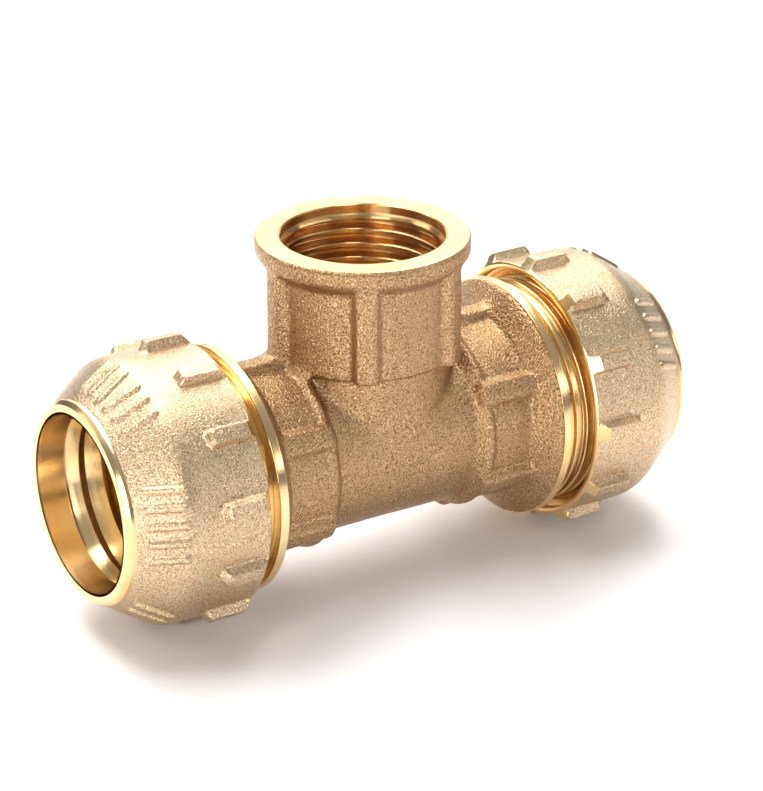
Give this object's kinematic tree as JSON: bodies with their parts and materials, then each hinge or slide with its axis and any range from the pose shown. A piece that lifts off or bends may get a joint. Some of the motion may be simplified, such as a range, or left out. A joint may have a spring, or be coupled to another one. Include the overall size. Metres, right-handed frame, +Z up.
{
  "type": "compression tee fitting",
  "caption": "Forged brass tee for plastic pipe: ribbed compression nuts at the run ends, a female-threaded branch, split clamp rings and O-ring seals inside.",
  "frame": {"origin": "on the branch axis, at the outer end of the branch thread, 1.6 mm below the branch end face", "axes": "+X along the run towards the right-hand nut, +Z up the branch and out of its mouth"},
  "size_m": [0.0779, 0.0344, 0.0426],
  "materials": {
    "forged_brass": "shot blasted",
    "turned_brass": "turned",
    "seal_rubber": "matte"
  },
  "bodies": {
    "fitting_body": {"tee_body": "forged_brass", "left_thrust_washer": "turned_brass", "right_thrust_washer": "turned_brass", "left_o_ring": "seal_rubber", "right_o_ring": "seal_rubber"},
    "left_clamp": {"left_clamp_ring": "turned_brass"},
    "left_nut": {"left_nut": "forged_brass"},
    "right_clamp": {"right_clamp_ring": "turned_brass"},
    "right_nut": {"right_nut": "forged_brass"}
  },
  "joints": [
    {"name": "left_clamp_slide", "type": "slide", "parent": "fitting_body", "child": "left_clamp", "axis": [-1, 0, 0], "range_m": [-0.00135, 0.0071]},
    {"name": "left_nut_turn", "type": "hinge", "parent": "left_clamp", "child": "left_nut", "pos_m": [-0.03, 0, -0.0238], "axis": [-1, 0, 0], "range_deg": [-300, 1680]},
    {"name": "right_clamp_slide", "type": "slide", "parent": "fitting_body", "child": "right_clamp", "axis": [1, 0, 0], "range_m": [-0.00243, 0.0061]},
    {"name": "right_nut_turn", "type": "hinge", "parent": "right_clamp", "child": "right_nut", "pos_m": [0.03, 0, -0.0238], "axis": [1, 0, 0], "range_deg": [-560, 1440]}
  ],
  "couplings": [
    {"joint": "left_clamp_slide", "follows": "left_nut_turn", "m_per_rad": 0.00023873},
    {"joint": "right_clamp_slide", "follows": "right_nut_turn", "m_per_rad": 0.00023873}
  ]
}
